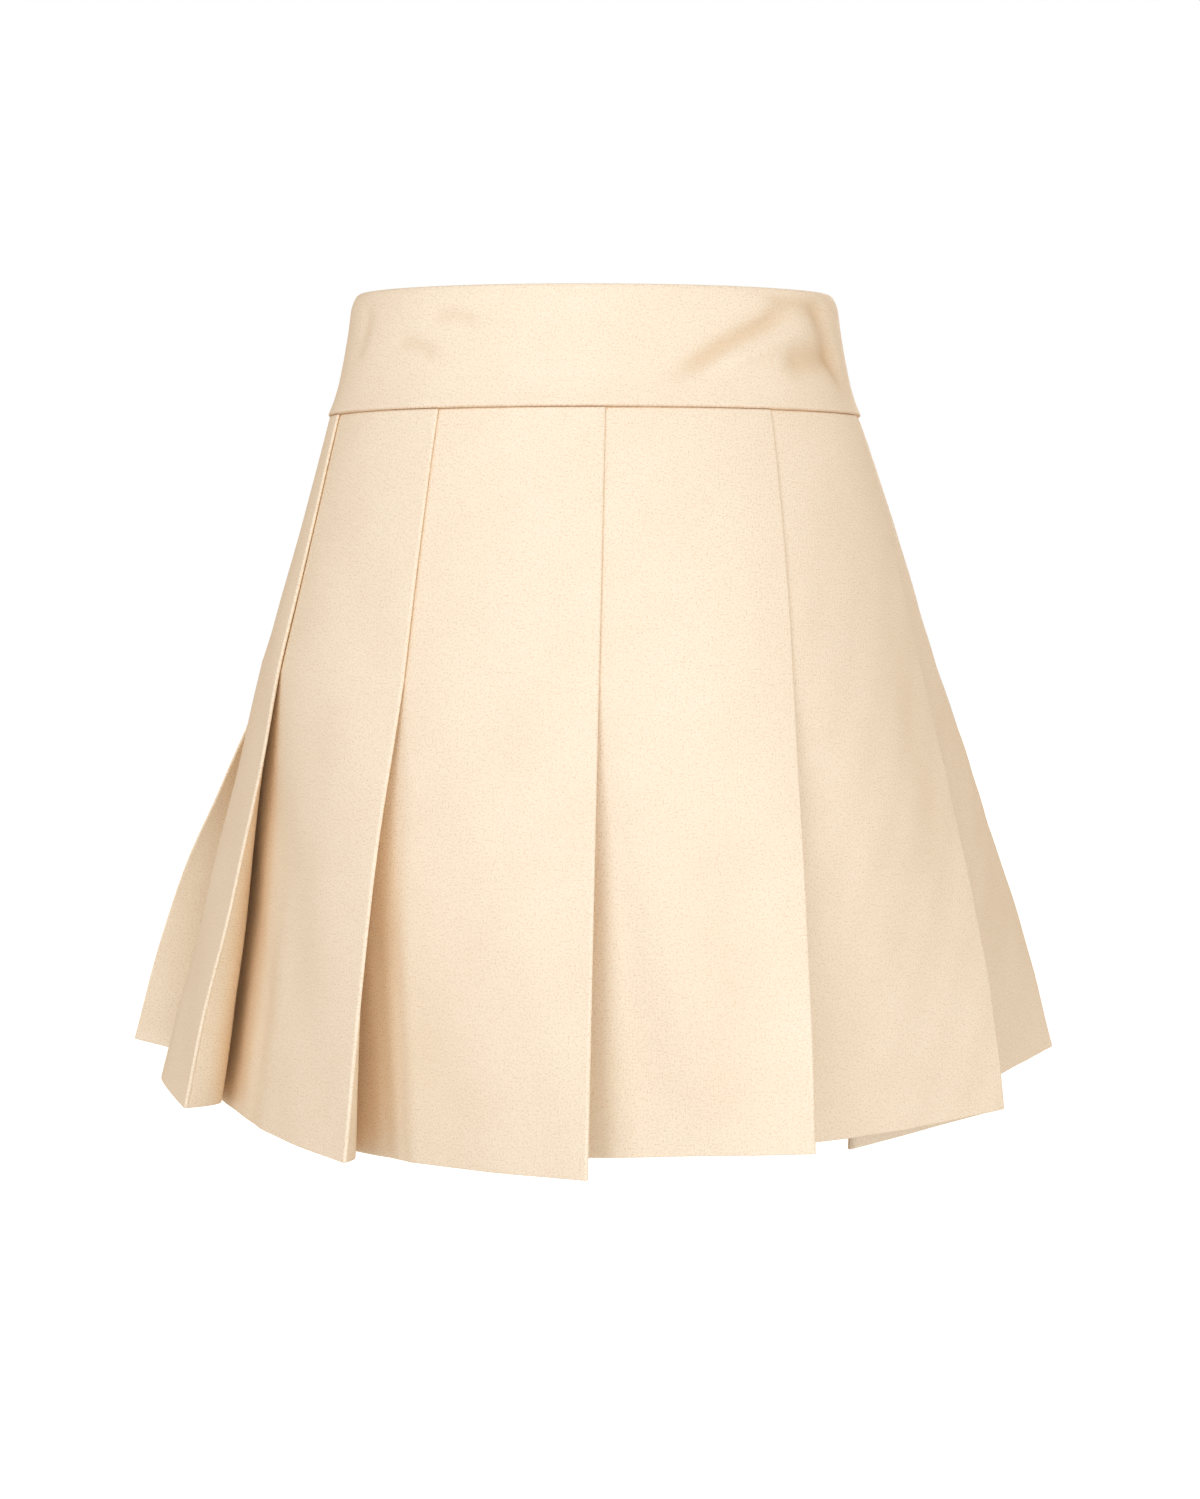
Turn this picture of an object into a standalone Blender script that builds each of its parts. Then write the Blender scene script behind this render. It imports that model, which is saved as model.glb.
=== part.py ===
"""A pleated skort: a shaped waistband, ten knife-pleat gores, inner shorts and a centre-back zip.

The frame is in metres with +Z up. The origin is the centre of the waist opening, level with the band's
top edge. The front faces -Y, and +X is the wearer's left. Every piece of cloth is a thin wall round a
surface that is worked out row by row, from the seam or edge at its top to its hem.
"""

import math

import bmesh
import bpy
import numpy as np
from mathutils import Matrix, Vector

MM = 0.001
NAME = "pleated_skort"

# Cloth and seams
CLOTH = 1.0 * MM
BAND_CLOTH = 2.2 * MM
TAPE_CLOTH = 0.8 * MM
SEAM_GAP = 0.3 * MM

# Waistband: outer face at each drop below the top edge
BAND_DEPTH = 60.5 * MM
BAND_ROWS = [
    # (drop, half_width, half_depth)
    (0.0, 121.6, 90.6),
    (1.2, 122.6, 91.4),
    (5.0, 123.2, 91.9),
    (18.0, 124.8, 93.3),
    (32.0, 127.2, 95.4),
    (45.0, 129.9, 97.8),
    (54.0, 132.6, 100.4),
    (60.5, 135.5, 102.9),
]
BAND_FRONT_DIP = 1.8 * MM
BAND_STEPS = 44

# Skirt: the seam under the band, and the knife pleats
SEAM_HALF_WIDTH = 134.6 * MM
SEAM_HALF_DEPTH = 102.1 * MM
SEAM_DROP = BAND_DEPTH + SEAM_GAP
LAYER = CLOTH + 0.5 * MM
PLEAT_LAP = 38.0 * MM
RELEASE = 0.37
BULGE_POWER = 0.7
SHUT_ROWS = (0.0, 0.06, 0.13, 0.2, 0.28)
OPEN_ROWS = (0.0, 0.15, 0.3, 0.47, 0.64, 0.82, 1.0)
LAP_STEPS = 4
PANEL_STEPS = 5
PLEATS = [
    # (gore, seam_arc, fold x, y, z and inner fold x, y, z at the hem, bulge, swell, bow, spread), in mm
    ("back_right", -303.0, -124.0, 182.0, -403.5, -72.0, 135.0, -415.0, 7.0, 0.0, 7.0, 0.0),
    ("side_right", -231.0, -247.0, 95.0, -392.5, -180.0, 99.0, -409.0, -6.0, 9.0, 8.0, 0.0),
    ("hip_right", -158.0, -206.8, -47.0, -405.0, -197.5, 22.0, -410.0, 1.0, -1.0, 29.0, 10.0),
    ("front_right", -83.0, -123.5, -142.0, -414.0, -123.0, -75.0, -421.5, 2.0, 4.0, 8.0, 3.0),
    ("center_front", 0.0, -12.4, -197.0, -411.7, -48.4, -139.3, -413.5, 1.0, -1.0, 9.0, 0.0),
    ("front_left", 84.5, 91.0, -190.0, -402.0, 48.0, -134.0, -413.0, 6.0, 2.0, 2.0, 0.0),
    ("hip_left", 158.5, 202.0, -56.0, -407.0, 124.5, -60.0, -426.0, 5.5, 4.0, 10.0, 0.0),
    ("side_left", 231.0, 249.0, 63.0, -395.0, 191.6, 21.3, -414.0, 3.5, 9.5, 6.0, 0.0),
    ("back_left", 303.0, 140.0, 186.0, -399.0, 146.7, 115.3, -414.5, 6.0, 0.0, 7.0, 0.0),
    ("center_back", 375.0, -4.0, 200.0, -407.0, 47.6, 151.2, -415.0, 4.0, 0.0, 7.0, 0.0),
]

# Inner shorts: middle of the cloth at each drop, for the hip and then for each leg
SHORTS_HIP = [
    # (drop, half_width, half_depth_front, half_depth_back)
    (61.5, 128.2, 95.7, 95.7),
    (90.0, 130.5, 98.5, 101.5),
    (125.0, 137.0, 104.0, 110.0),
    (160.0, 144.0, 107.5, 117.0),
    (195.0, 148.5, 108.0, 120.0),
    (220.0, 149.5, 107.0, 118.0),
    (240.0, 149.0, 105.0, 114.0),
    (255.0, 148.0, 103.0, 110.0),
    (268.0, 146.5, 100.0, 105.0),
    (300.0, 143.0, 94.0, 98.0),
    (335.0, 139.0, 87.0, 91.0),
]
SHORTS_LEG = [
    # (centre x, half_width, half_depth_front, half_depth_back, share of leg in the row)
    (70.0, 70.0, 95.7, 95.7, 0.0),
    (70.0, 70.0, 98.5, 101.5, 0.0),
    (70.0, 70.0, 102.0, 110.0, 0.0),
    (71.2, 71.0, 103.0, 114.0, 0.0),
    (72.2, 71.8, 102.0, 115.0, 0.1),
    (73.0, 72.5, 99.0, 113.0, 0.38),
    (73.6, 73.0, 95.0, 110.0, 0.66),
    (73.2, 72.5, 91.0, 106.0, 0.88),
    (72.7, 72.0, 88.0, 102.0, 1.0),
    (75.0, 67.0, 82.0, 95.0, 1.0),
    (76.0, 63.0, 76.0, 88.0, 1.0),
]
CROTCH_DROP = 266.0 * MM
SHORTS_STEPS = 11

# Zip at the centre back: the tape, and the gap at its top that the slider stands in
TAPE_ROWS = [
    # (drop, distance behind the middle), in mm
    (15.0, 89.9),
    (30.0, 92.1),
    (45.0, 94.7),
    (53.0, 94.8),
    (61.0, 93.9),
    (75.0, 96.7),
    (90.0, 99.9),
    (125.0, 108.3),
    (150.0, 113.5),
    (165.0, 114.0),
]
TAPE_HALF_WIDTH = 12.0 * MM
TAPE_BEND = 125.0 * MM
TAPE_STEPS = 4
LIP_PART = 1.3 * MM
LIP_PART_DROP = 13.0 * MM

# Zip slider: boxes from one corner to the other (x, y, z), in mm, and the bar that the tab hangs on
SLIDER_BODY = ((-3.0, 86.2, -11.0), (3.0, 88.9, -3.0))
SLIDER_NECK = ((-0.6, 88.6, -7.5), (0.6, 93.0, -3.5))
SLIDER_CROWN = ((-2.7, 92.6, -8.5), (2.7, 94.0, -2.5))
SLIDER_CHEEKS = (
    ((-2.6, 93.6, -7.0), (-1.9, 97.1, -4.0)),
    ((1.9, 93.6, -7.0), (2.6, 97.1, -4.0)),
)
BAR_RADIUS = 0.7 * MM
BAR_LENGTH = 4.5 * MM
BAR_AT = (0.0, 96.0 * MM, -5.5 * MM)
EDGE_ROUND = 0.3 * MM

# Zip tab: a barrel round the bar, and a drop-shaped plate
BARREL_RADIUS = 1.6 * MM
BARREL_HOLE = 1.0 * MM
BARREL_LENGTH = 3.0 * MM
TAB_THICK = 1.2 * MM
TAB_NECK_RADIUS = 1.1 * MM
TAB_NECK_DROP = 1.3 * MM
TAB_END_RADIUS = 2.8 * MM
TAB_END_DROP = 19.0 * MM
ROUND_STEPS = 32

CREAM_SATIN = (0.86, 0.71, 0.52, 1.0)
CREAM_PLAIN = (0.80, 0.68, 0.52, 1.0)
ZIP_CREAM = (0.78, 0.65, 0.47, 1.0)
PALE_GOLD = (0.83, 0.68, 0.42, 1.0)


def clear_scene():
    for obj in list(bpy.data.objects):
        bpy.data.objects.remove(obj, do_unlink=True)


def make_collection(name, hidden=False):
    collection = bpy.data.collections.new(name)
    bpy.context.scene.collection.children.link(collection)
    collection.hide_render = hidden
    return collection


def make_material(name, colour, roughness, metallic=0.0):
    material = bpy.data.materials.new(name)
    material.use_nodes = True
    shader = material.node_tree.nodes["Principled BSDF"]
    shader.inputs["Base Color"].default_value = colour
    shader.inputs["Roughness"].default_value = roughness
    shader.inputs["Metallic"].default_value = metallic
    return material


def add_mesh(name, points, faces, material, collection):
    mesh = bpy.data.meshes.new(name)
    mesh.from_pydata([tuple(point) for point in points], [], faces)
    mesh.materials.append(material)
    mesh.shade_smooth()
    obj = bpy.data.objects.new(name, mesh)
    collection.objects.link(obj)
    return obj


def grid_faces(count, across, first=0, flip=False):
    """Quads between rows of points: count rows with this many points across."""
    faces = []
    for i in range(count - 1):
        for j in range(across - 1):
            a = first + i * across + j
            quad = (a, a + across, a + across + 1, a + 1)
            faces.append(quad[::-1] if flip else quad)
    return faces


def draped_wall(name, rows, material, collection, thickness):
    """A wall round the surface through these rows, made thick with Solidify."""
    rows = np.asarray(rows)
    points = rows.reshape(-1, 3)
    obj = add_mesh(name, points, grid_faces(*rows.shape[:2]), material, collection)
    solid = obj.modifiers.new("cloth", "SOLIDIFY")
    solid.thickness = thickness
    solid.offset = 0.0
    solid.use_even_offset = True
    solid.use_quality_normals = True
    return obj


def level_offsets(row):
    """At each point of a row, the level step that moves both neighbouring edges out by one."""
    edges = np.diff(row[:, :2], axis=0)
    edges /= np.linalg.norm(edges, axis=1)[:, None]
    normals = np.stack([edges[:, 1], -edges[:, 0]], axis=1)
    before = np.vstack([normals[:1], normals])
    after = np.vstack([normals, normals[-1:]])
    mitre = (before + after) / (1 + (before * after).sum(axis=1))[:, None]
    return np.hstack([mitre, np.zeros((len(row), 1))])


def folded_wall(name, rows, material, collection, thickness):
    """A wall round the surface through these rows, with sharp folds and level top and bottom edges."""
    rows = np.asarray(rows)
    count, across = rows.shape[:2]
    step = np.array([level_offsets(row) for row in rows]) * thickness / 2
    points = np.vstack([(rows + step).reshape(-1, 3), (rows - step).reshape(-1, 3)])
    inner = count * across
    faces = grid_faces(count, across) + grid_faces(count, across, inner, flip=True)
    ring = list(range(across))
    ring += [i * across + across - 1 for i in range(1, count)]
    ring += [(count - 1) * across + j for j in range(across - 2, -1, -1)]
    ring += [i * across for i in range(count - 2, 0, -1)]
    for a, b in zip(ring, ring[1:] + ring[:1]):
        faces.append((a, b, b + inner, a + inner))
    return add_mesh(name, points, faces, material, collection)


# ---------------------------------------------------------------- ellipses


def ellipse_point(angle, half_width, half_depth):
    """Angle 0 is the centre front, and it grows towards +X."""
    return np.array([half_width * math.sin(angle), -half_depth * math.cos(angle)])


def ellipse_normal(angle, half_width, half_depth):
    normal = np.array([math.sin(angle) / half_width, -math.cos(angle) / half_depth])
    return normal / np.linalg.norm(normal)


def arc_table(half_width, half_depth, samples=2000):
    """Angles round an ellipse, and the distance along it from the centre front."""
    angles = np.linspace(-math.pi, math.pi, 2 * samples + 1)
    points = np.stack([half_width * np.sin(angles), -half_depth * np.cos(angles)], axis=1)
    steps = np.linalg.norm(np.diff(points, axis=0), axis=1)
    along = np.concatenate([[0.0], np.cumsum(steps)])
    return angles, along - along[samples]


ANGLES, ARCS = arc_table(SEAM_HALF_WIDTH, SEAM_HALF_DEPTH)
SEAM_LENGTH = ARCS[-1] - ARCS[0]
PANEL_TYPICAL = SEAM_LENGTH / len(PLEATS)


def seam_angle(arc):
    arc = (arc + SEAM_LENGTH / 2) % SEAM_LENGTH - SEAM_LENGTH / 2
    return float(np.interp(arc, ARCS, ANGLES))


def seam_point(arc):
    x, y = ellipse_point(seam_angle(arc), SEAM_HALF_WIDTH, SEAM_HALF_DEPTH)
    return np.array([x, y, -SEAM_DROP])


def seam_normal(arc):
    x, y = ellipse_normal(seam_angle(arc), SEAM_HALF_WIDTH, SEAM_HALF_DEPTH)
    return np.array([x, y, 0.0])


# ---------------------------------------------------------------- pleated skirt


class Pleat:
    """One knife pleat: the fold that shows and the inner fold under it, from seam to hem."""

    def __init__(self, row, last_arc):
        scale = SEAM_LENGTH / 2 / last_arc
        self.name = "gore_" + row[0]
        self.arc = row[1] * scale
        self.fold = np.array(row[2:5]) * MM
        self.inner = np.array(row[5:8]) * MM
        self.bulge = row[8] * MM
        self.swell = seam_normal(self.arc) * row[9] * MM
        self.bow = row[10] * MM
        self.spread = row[11] * MM

    def fold_shift(self, share):
        """How far the fold has moved from its place at the seam, at this share of the length."""
        straight = (self.fold - seam_point(self.arc)) * share
        return straight + seam_normal(self.arc) * self.bulge * math.sin(math.pi * share**BULGE_POWER)


PLEAT_LIST = [Pleat(row, PLEATS[-1][1]) for row in PLEATS]
for last, this in zip(PLEAT_LIST[-1:] + PLEAT_LIST, PLEAT_LIST):
    this.face = this.fold - last.inner


def joined(arc, vectors):
    """Vectors that are given at the ten folds, joined smoothly round the skirt by a spline."""
    arcs = [pleat.arc for pleat in PLEAT_LIST]
    arc = (arc - arcs[0]) % SEAM_LENGTH + arcs[0]
    count = len(arcs)
    k = max(i for i in range(count) if arcs[i] <= arc + 1e-12)
    at = []
    near = []
    for step in (-1, 0, 1, 2):
        i = (k + step) % count
        at.append(arcs[i] + SEAM_LENGTH * ((k + step) // count))
        near.append(vectors[i])
    span = at[2] - at[1]
    t = (arc - at[1]) / span
    slope_a = (near[2] - near[0]) / (at[2] - at[0]) * span
    slope_b = (near[3] - near[1]) / (at[3] - at[1]) * span
    return (
        (2 * t**3 - 3 * t**2 + 1) * near[1]
        + (t**3 - 2 * t**2 + t) * slope_a
        + (3 * t**2 - 2 * t**3) * near[2]
        + (t**3 - t**2) * slope_b
    )


def closed_shift(arc, share):
    return joined(arc, [pleat.fold_shift(share) for pleat in PLEAT_LIST])


def closed_point(arc, share, depth):
    """A point of the skirt with its pleats shut, this deep under the outermost layer."""
    point = seam_point(arc) + closed_shift(arc, share)
    step = 2.0 * MM
    ahead = seam_point(arc + step) + closed_shift(arc + step, share)
    behind = seam_point(arc - step) + closed_shift(arc - step, share)
    along = ahead - behind
    normal = np.array([along[1], -along[0], 0.0])
    return point - normal / np.linalg.norm(normal) * depth


def inward(direction):
    """The level direction to the left of this one, which points into the skirt."""
    level = np.array([-direction[1], direction[0], 0.0])
    return level / np.linalg.norm(level)


def unit(vector):
    return vector / np.linalg.norm(vector)


def gore_samples(before, pleat):
    """Along one gore: (seam arc, depth when shut, place at the hem, swell on the way) of each column.

    The gore starts at the inner fold before it, runs under that fold as an underlay, comes out as the
    panel that shows, turns at its own fold and returns to its own inner fold.
    """
    panel = (pleat.arc - before.arc) % SEAM_LENGTH
    width = panel + PLEAT_LAP
    start_arc = before.arc - PLEAT_LAP
    face = pleat.face
    back = pleat.inner - pleat.fold
    start_turn = inward(unit(unit(before.fold - before.inner) + unit(face)))
    fold_turn = inward(unit(unit(face) - unit(back)))
    start = before.inner + start_turn * LAYER
    under = fold_turn * LAYER
    start_spread = inward(unit(before.face)) * before.spread
    end_spread = inward(unit(face)) * pleat.spread
    swells = [each.swell for each in PLEAT_LIST]
    stops = [PLEAT_LAP * i / LAP_STEPS for i in range(LAP_STEPS)]
    stops += [PLEAT_LAP + (panel - PLEAT_LAP) * i / PANEL_STEPS for i in range(PANEL_STEPS)]
    stops += [panel + PLEAT_LAP * i / LAP_STEPS for i in range(LAP_STEPS + 1)]
    samples = []
    for along in stops:
        share = along / width
        rise = 2 * LAYER * (1 - (along - PLEAT_LAP) / panel)
        if along < PLEAT_LAP:
            previous = (before.arc - start_arc - along) / PANEL_TYPICAL
            rise = 2 * LAYER * (1 + previous)
        bow = -inward(unit(face)) * pleat.bow * math.sin(math.pi * share)
        place = start + (pleat.fold - start) * share + bow
        swell = joined(start_arc + along, swells) + start_spread * (1 - share) ** 2
        samples.append((start_arc + along, rise, place, swell))
    for i in range(LAP_STEPS + 1):
        share = i / LAP_STEPS
        rise = LAYER + 2 * LAYER * PLEAT_LAP * share / PANEL_TYPICAL
        place = pleat.fold + under + (pleat.inner - pleat.fold - under) * share
        arc = pleat.arc - PLEAT_LAP * share
        samples.append((arc, rise, place, joined(arc, swells) + end_spread * share))
    return samples


def make_gores(material, collection):
    """Above the release the pleats are shut. Below it, gently swelling lines run on to the open hem."""
    for k, pleat in enumerate(PLEAT_LIST):
        samples = gore_samples(PLEAT_LIST[k - 1], pleat)
        rows = []
        for share in SHUT_ROWS:
            rows.append([closed_point(arc, share, depth) for arc, depth, _, _ in samples])
        release = np.array([closed_point(arc, RELEASE, depth) for arc, depth, _, _ in samples])
        hem = np.array([place for _, _, place, _ in samples])
        swell = np.array([out for _, _, _, out in samples])
        for share in OPEN_ROWS:
            rows.append(release + (hem - release) * share + swell * math.sin(math.pi * share))
        folded_wall(pleat.name, rows, material, collection, CLOTH)


# ---------------------------------------------------------------- waistband


def band_face(drop):
    """Half width and half depth of the band's middle surface at this drop."""
    drops, widths, depths = (np.array(column) * MM for column in zip(*BAND_ROWS))
    half = BAND_CLOTH / 2
    return np.interp(drop, drops, widths) - half, np.interp(drop, drops, depths) - half


def band_rows(start, end, parts_at_end=False):
    """Rows of points from one angle to another. At the centre back the end parts for the zip."""
    rows = []
    count = round(BAND_STEPS * abs(end - start) / (2 * math.pi))
    onward = math.copysign(1, end - start)
    for drop, _, _ in BAND_ROWS:
        drop = drop * MM
        half_width, half_depth = band_face(drop)
        first = start + SEAM_GAP / 2 / half_depth * onward
        last = end - SEAM_GAP / 2 / half_depth * onward
        if parts_at_end:
            part = LIP_PART * max(0.0, 1 - drop / LIP_PART_DROP) ** 0.5
            last -= part / half_width * onward
        row = []
        for i in range(count + 1):
            angle = first + (last - first) * i / count
            x, y = ellipse_point(angle, half_width, half_depth)
            dip = BAND_FRONT_DIP * max(0.0, math.cos(angle)) * max(0.0, 1 - drop / BAND_DEPTH)
            row.append((x, y, -drop - dip))
        rows.append(row)
    return rows


def make_waistband(material, collection):
    quarter = math.pi / 2
    pieces = {
        "waistband_front": band_rows(-quarter, quarter),
        "waistband_back_left": band_rows(quarter, math.pi, True),
        "waistband_back_right": [row[::-1] for row in band_rows(-quarter, -math.pi, True)],
    }
    for name, rows in pieces.items():
        folded_wall(name, rows, material, collection, BAND_CLOTH)


# ---------------------------------------------------------------- inner shorts


def shorts_row(index, back):
    """The middle of the cloth from the centre seam to the side seam, on the wearer's left."""
    drop, hip_width, hip_front, hip_back = (value * MM for value in SHORTS_HIP[index])
    centre, leg_width, leg_front, leg_back, leg_share = SHORTS_LEG[index]
    hip_depth = hip_back if back else -hip_front
    leg_depth = (leg_back if back else -leg_front) * MM
    row = []
    for i in range(SHORTS_STEPS + 1):
        share = i / SHORTS_STEPS
        turn = math.pi / 2 * share
        hip = np.array([hip_width * math.sin(turn), hip_depth * math.cos(turn)])
        turn = math.pi * (1 - share)
        leg = np.array([(centre + leg_width * math.cos(turn)) * MM, leg_depth * math.sin(turn)])
        flat = hip * (1 - leg_share) + leg * leg_share
        low = -drop
        if 0 < leg_share < 1:
            sag = (CROTCH_DROP - drop) * math.sin(math.pi / 2 * leg_share) * (1 - share) ** 2
            low -= sag
        row.append(np.array([flat[0], flat[1], low]))
    inset = SEAM_GAP / 2
    row[0] = row[0] + unit(row[1] - row[0]) * inset
    row[-1] = row[-1] + unit(row[-2] - row[-1]) * inset
    return row


def make_shorts(material, collection):
    for back in (False, True):
        rows = np.array([shorts_row(i, back) for i in range(len(SHORTS_HIP))])
        place = "back" if back else "front"
        mirrored = rows * np.array([-1.0, 1.0, 1.0])
        left_rows = rows[:, ::-1] if back else rows
        right_rows = mirrored if back else mirrored[:, ::-1]
        draped_wall(f"shorts_{place}_left", left_rows, material, collection, CLOTH)
        draped_wall(f"shorts_{place}_right", right_rows, material, collection, CLOTH)


# ---------------------------------------------------------------- zip


def tape_rows():
    rows = []
    for drop, behind in TAPE_ROWS:
        row = []
        for i in range(TAPE_STEPS + 1):
            x = TAPE_HALF_WIDTH * (1 - 2 * i / TAPE_STEPS)
            row.append((x, behind * MM * math.sqrt(1 - (x / TAPE_BEND) ** 2), -drop * MM))
        rows.append(row)
    return rows


def bmesh_object(name, shape, material, collection):
    mesh = bpy.data.meshes.new(name)
    shape.to_mesh(mesh)
    shape.free()
    mesh.materials.append(material)
    obj = bpy.data.objects.new(name, mesh)
    collection.objects.link(obj)
    if collection.hide_render:
        obj.display_type = "WIRE"
    return obj


def block(name, corners, material, collection):
    """A box with its edges rounded off."""
    low, high = (Vector(corner) * MM for corner in corners)
    size = high - low
    shape = bmesh.new()
    matrix = Matrix.Translation((low + high) / 2) @ Matrix.Diagonal((*size, 1.0))
    bmesh.ops.create_cube(shape, size=1.0, matrix=matrix)
    obj = bmesh_object(name, shape, material, collection)
    rounding = obj.modifiers.new("rounding", "BEVEL")
    rounding.width = min(EDGE_ROUND, min(size) / 4)
    rounding.segments = 2
    return obj


def rod(name, radius, length, centre, material, collection):
    """A cylinder along X."""
    shape = bmesh.new()
    matrix = Matrix.Translation(centre) @ Matrix.Rotation(math.pi / 2, 4, "Y")
    bmesh.ops.create_cone(
        shape,
        cap_ends=True,
        segments=ROUND_STEPS,
        radius1=radius,
        radius2=radius,
        depth=length,
        matrix=matrix,
    )
    return bmesh_object(name, shape, material, collection)


def drop_plate(name, material, collection):
    """A flat plate round a small circle and a larger one below it."""
    shape = bmesh.new()
    lie_flat = Matrix.Rotation(math.pi / 2, 4, "X")
    circles = ((TAB_NECK_RADIUS, TAB_NECK_DROP), (TAB_END_RADIUS, TAB_END_DROP))
    for radius, drop in circles:
        bmesh.ops.create_cone(
            shape,
            cap_ends=True,
            segments=ROUND_STEPS,
            radius1=radius,
            radius2=radius,
            depth=TAB_THICK,
            matrix=Matrix.Translation((0.0, 0.0, -drop)) @ lie_flat,
        )
    points = [vertex.co.copy() for vertex in shape.verts]
    shape.clear()
    for point in points:
        shape.verts.new(point)
    bmesh.ops.convex_hull(shape, input=shape.verts)
    return bmesh_object(name, shape, material, collection)


def combine(obj, other, operation):
    step = obj.modifiers.new(other.name, "BOOLEAN")
    step.operation = operation
    step.object = other
    step.solver = "EXACT"


def make_zip(cloth, metal, parts, cutters):
    folded_wall("zip_tape", tape_rows(), cloth, parts, TAPE_CLOTH)

    slider = block("zip_slider", SLIDER_BODY, metal, parts)
    for name, corners in (("slider_neck", SLIDER_NECK), ("slider_crown", SLIDER_CROWN)):
        combine(slider, block(name, corners, metal, cutters), "UNION")
    for side, corners in zip(("right", "left"), SLIDER_CHEEKS):
        combine(slider, block("slider_cheek_" + side, corners, metal, cutters), "UNION")
    combine(slider, rod("slider_bar", BAR_RADIUS, BAR_LENGTH, BAR_AT, metal, cutters), "UNION")

    axis = (0.0, 0.0, 0.0)
    pull = rod("zip_pull", BARREL_RADIUS, BARREL_LENGTH, axis, metal, parts)
    plate = drop_plate("tab_plate", metal, cutters)
    hole = rod("tab_hole", BARREL_HOLE, 2 * BARREL_LENGTH, axis, metal, cutters)
    combine(pull, plate, "UNION")
    combine(pull, hole, "DIFFERENCE")
    for obj in (pull, plate, hole):
        obj.location = BAR_AT


def main():
    clear_scene()
    parts = make_collection(NAME)
    cutters = make_collection("cutters", hidden=True)
    satin = make_material("satin", CREAM_SATIN, 0.45)
    plain = make_material("shorts_cloth", CREAM_PLAIN, 0.75)
    tape = make_material("zip_cloth", ZIP_CREAM, 0.7)
    metal = make_material("zip_metal", PALE_GOLD, 0.3, 1.0)
    make_waistband(satin, parts)
    make_gores(satin, parts)
    make_shorts(plain, parts)
    make_zip(tape, metal, parts, cutters)


main()
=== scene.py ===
import math

import bmesh
import bpy
import numpy as np
from mathutils import Matrix, Vector


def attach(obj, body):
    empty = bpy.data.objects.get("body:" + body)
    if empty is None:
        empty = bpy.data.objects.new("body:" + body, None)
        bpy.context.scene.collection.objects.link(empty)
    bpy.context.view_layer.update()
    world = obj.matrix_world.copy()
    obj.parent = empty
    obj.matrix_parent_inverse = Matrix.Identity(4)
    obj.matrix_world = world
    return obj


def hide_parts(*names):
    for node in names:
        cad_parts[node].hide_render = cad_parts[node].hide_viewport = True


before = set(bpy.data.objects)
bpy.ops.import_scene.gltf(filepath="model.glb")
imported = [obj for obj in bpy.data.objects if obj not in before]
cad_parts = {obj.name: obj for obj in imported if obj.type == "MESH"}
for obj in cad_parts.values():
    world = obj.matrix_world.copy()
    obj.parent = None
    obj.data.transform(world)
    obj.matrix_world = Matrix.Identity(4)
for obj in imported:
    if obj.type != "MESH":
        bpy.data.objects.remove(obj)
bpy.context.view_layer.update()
MM = 0.001

# ------------------------------------------------------------------ sizes shared with the solids

SEAM_HALF_WIDTH = 134.6 * MM
SEAM_HALF_DEPTH = 102.1 * MM
BAND_DEPTH = 60.5 * MM
SEAM_DROP = BAND_DEPTH + 0.3 * MM
LAYER = 1.5 * MM  # between the middles of two layers of a shut pleat
PLEAT_LAP = 38.0 * MM  # how far the cloth is folded under at the seam
RELEASE = 0.37  # share of the length where the pleats start to open
BULGE_POWER = 0.7  # less than 1 puts the widest place of a bulge above the middle
PLEATS = [
    # (gore, arc at the seam, fold x, y, z at the hem, inner fold x, y, z at the hem,
    #  bulge, swell, bow, spread), in mm
    ("back_right", -303.0, -124.0, 182.0, -403.5, -72.0, 135.0, -415.0, 7.0, 0.0, 7.0, 0.0),
    ("side_right", -231.0, -247.0, 95.0, -392.5, -180.0, 99.0, -409.0, -6.0, 9.0, 8.0, 0.0),
    ("hip_right", -158.0, -206.8, -47.0, -405.0, -197.5, 22.0, -410.0, 1.0, -1.0, 29.0, 10.0),
    ("front_right", -83.0, -123.5, -142.0, -414.0, -123.0, -75.0, -421.5, 2.0, 4.0, 8.0, 3.0),
    ("center_front", 0.0, -12.4, -197.0, -411.7, -48.4, -139.3, -413.5, 1.0, -1.0, 9.0, 0.0),
    ("front_left", 84.5, 91.0, -190.0, -402.0, 48.0, -134.0, -413.0, 6.0, 2.0, 2.0, 0.0),
    ("hip_left", 158.5, 202.0, -56.0, -407.0, 124.5, -60.0, -426.0, 5.5, 4.0, 10.0, 0.0),
    ("side_left", 231.0, 249.0, 63.0, -395.0, 191.6, 21.3, -414.0, 3.5, 9.5, 6.0, 0.0),
    ("back_left", 303.0, 140.0, 186.0, -399.0, 146.7, 115.3, -414.5, 6.0, 0.0, 7.0, 0.0),
    ("center_back", 375.0, -4.0, 200.0, -407.0, 47.6, 151.2, -415.0, 4.0, 0.0, 7.0, 0.0),
]
BAND_ROWS = [
    # (drop, half_width, half_depth) of the outer face, in mm
    (0.0, 121.6, 90.6),
    (1.2, 122.6, 91.4),
    (5.0, 123.2, 91.9),
    (18.0, 124.8, 93.3),
    (32.0, 127.2, 95.4),
    (45.0, 129.9, 97.8),
    (54.0, 132.6, 100.4),
    (60.5, 135.5, 102.9),
]
BAND_INSET = 1.1 * MM  # from the band's outer face to its middle
BAND_FRONT_DIP = 1.8 * MM  # how much lower the top edge is in front
LIP_PART = 1.3 * MM  # how far the back edges part beside the slider
LIP_PART_DROP = 13.0 * MM
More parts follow.
